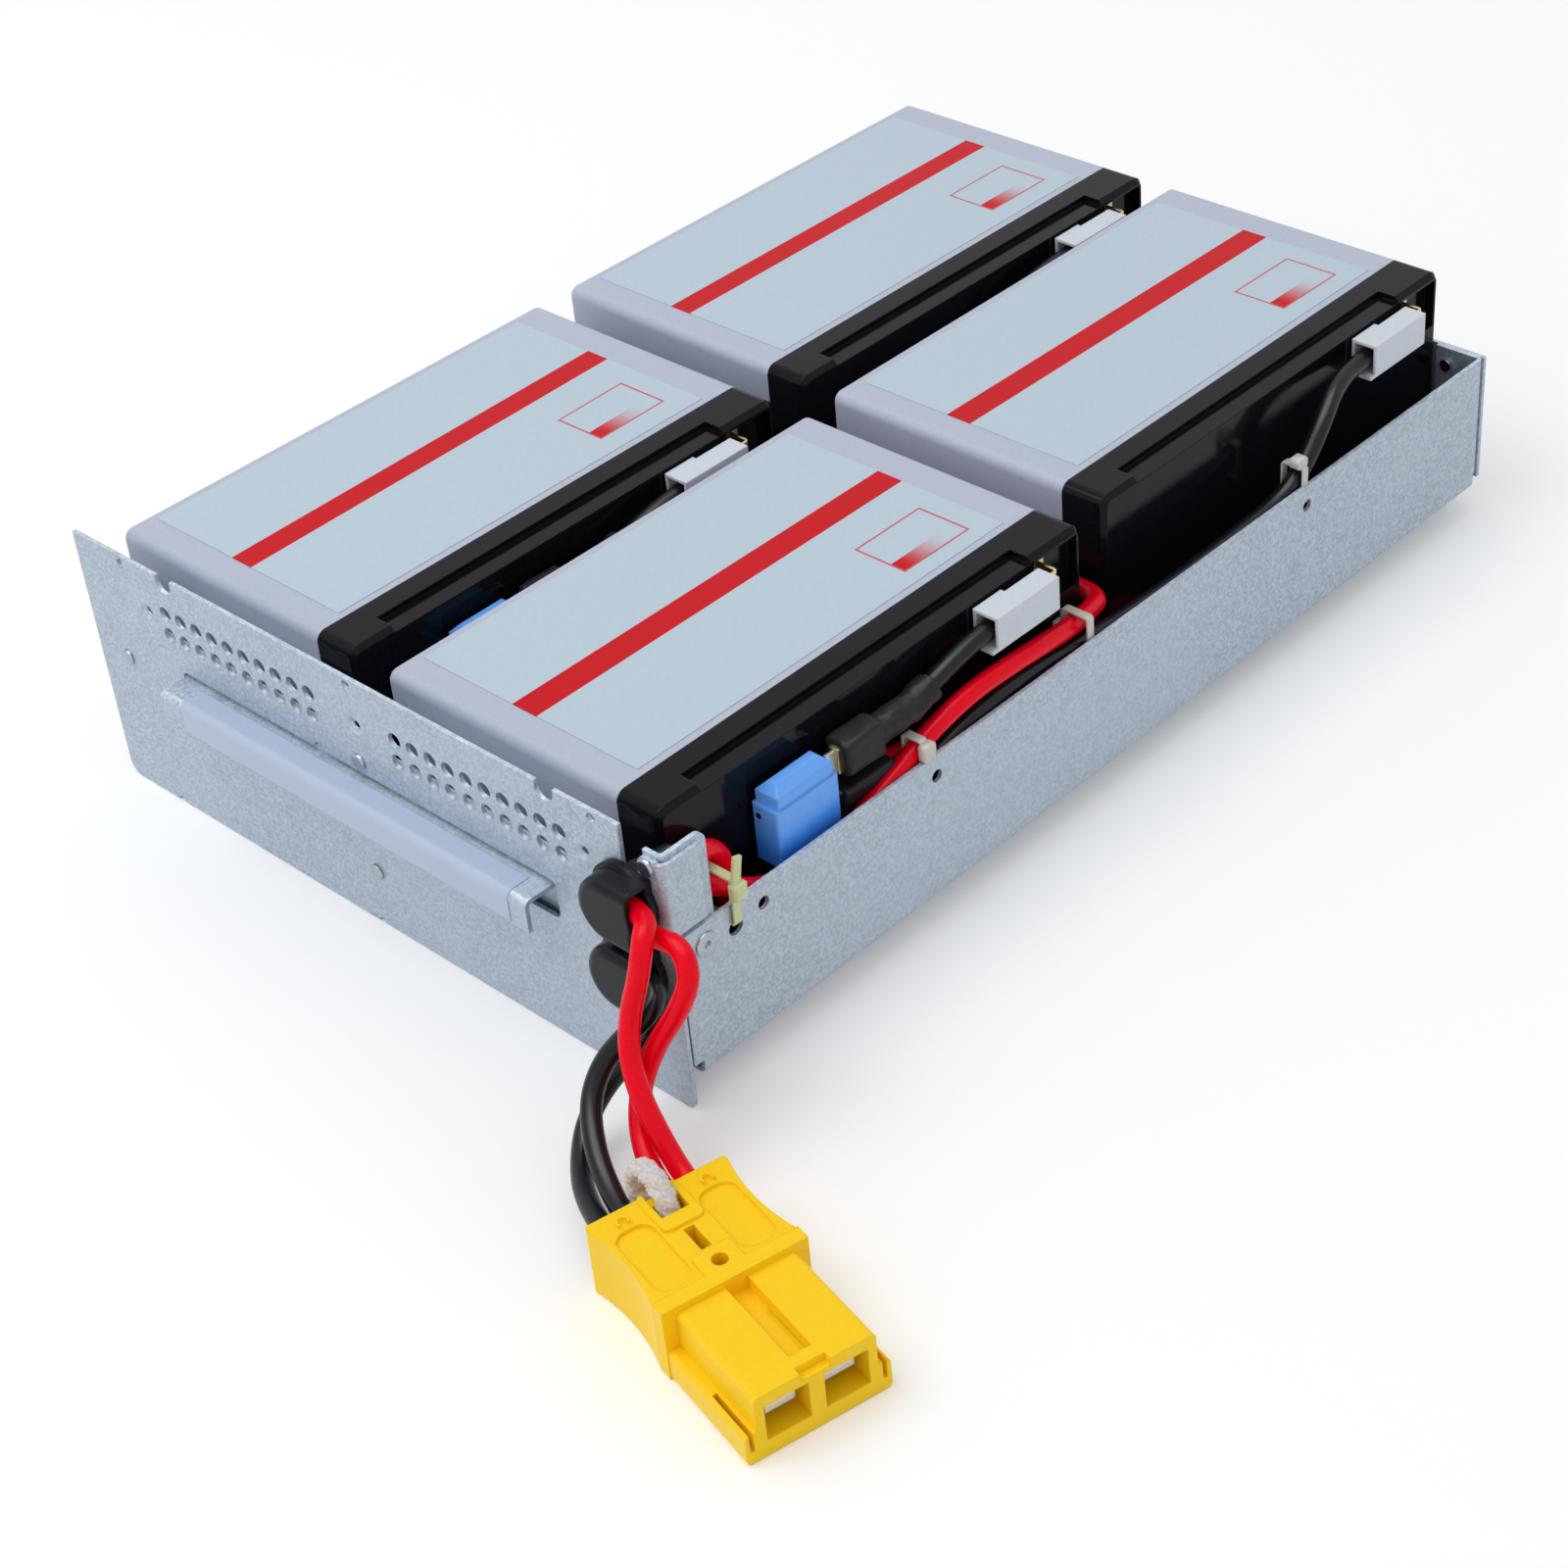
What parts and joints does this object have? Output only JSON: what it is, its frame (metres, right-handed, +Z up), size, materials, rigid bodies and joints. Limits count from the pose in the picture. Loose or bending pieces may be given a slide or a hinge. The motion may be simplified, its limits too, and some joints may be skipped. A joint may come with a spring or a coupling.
{
  "type": "ups battery cartridge",
  "caption": "Folded steel tray with a handled front panel, sealed battery blocks lying on their sides, fused leads beside them and free leads to one flat connector.",
  "frame": {"origin": "middle of the cartridge's width and depth, at the front panel's lower edge", "axes": "+Z up, -Y towards the front panel and its handle, +X towards the side with the leads and the connector"},
  "size_m": [0.3107, 0.398, 0.0779],
  "materials": {
    "galvanised": "galvanised sheet, fine speckle",
    "rivet_zinc": "bright zinc",
    "case_grey": "light lavender grey moulded case",
    "lid_black": "glossy black lid",
    "label_paper": "satin label with a red stripe",
    "sticker": "blank pale strip",
    "brass": "brass terminals",
    "cover_white": "milky nylon",
    "fuse_blue": "translucent blue",
    "boot_rubber": "black rubber boot",
    "connector_yellow": "yellow moulding",
    "contact_metal": "plated contacts",
    "cotton": "white cotton",
    "lead_red": "red insulation",
    "lead_black": "black insulation",
    "sleeve_black": "shrunk sleeve, dull black",
    "tie_white": "white nylon",
    "tie_yellow": "yellow-green nylon"
  },
  "bodies": {
    "root": {"black_lead_left": "lead_black", "black_lead_right": "lead_black", "boot_lower": "boot_rubber", "boot_upper": "boot_rubber", "cable_ties": "tie_white", "case_front_left": "case_grey", "case_front_right": "case_grey", "case_rear_left": "case_grey", "case_rear_right": "case_grey", "clips_front_left": "brass", "clips_front_right": "brass", "clips_rear_left": "brass", "clips_rear_right": "brass", "connector": "connector_yellow", "connector_contacts": "contact_metal", "corner_bracket": "galvanised", "cotton_loop": "cotton", "ear_rivet": "rivet_zinc", "front_panel": "galvanised", "fuse_blades_left": "brass", "fuse_blades_right": "brass", "fuse_clips_left": "brass", "fuse_clips_right": "brass", "fuse_left": "fuse_blue", "fuse_right": "fuse_blue", "handle_plate": "galvanised", "handle_sticker": "sticker", "heat_shrinks": "sleeve_black", "jumper_lead_left": "lead_black", "jumper_lead_right": "lead_black", "label_front_left": "label_paper", "label_front_right": "label_paper", "label_rear_left": "label_paper", "label_rear_right": "label_paper", "lead_black_lower": "lead_black", "lead_black_upper": "lead_black", "lead_cover_front_left": "cover_white", "lead_cover_front_right": "cover_white", "lead_cover_rear_left": "cover_white", "lead_cover_rear_right": "cover_white", "lead_red_lower": "lead_red", "lead_red_upper": "lead_red", "lid_front_left": "lid_black", "lid_front_right": "lid_black", "lid_rear_left": "lid_black", "lid_rear_right": "lid_black", "link_lead_left": "lead_black", "link_lead_right": "lead_black", "panel_rivets": "rivet_zinc", "rear_rivets": "rivet_zinc", "red_lead_left": "lead_red", "red_lead_right": "lead_red", "terminals_front_left": "brass", "terminals_front_right": "brass", "terminals_rear_left": "brass", "terminals_rear_right": "brass", "tray": "galvanised", "wall_rivet": "rivet_zinc", "yellow_tie": "tie_yellow"}
  },
  "joints": []
}
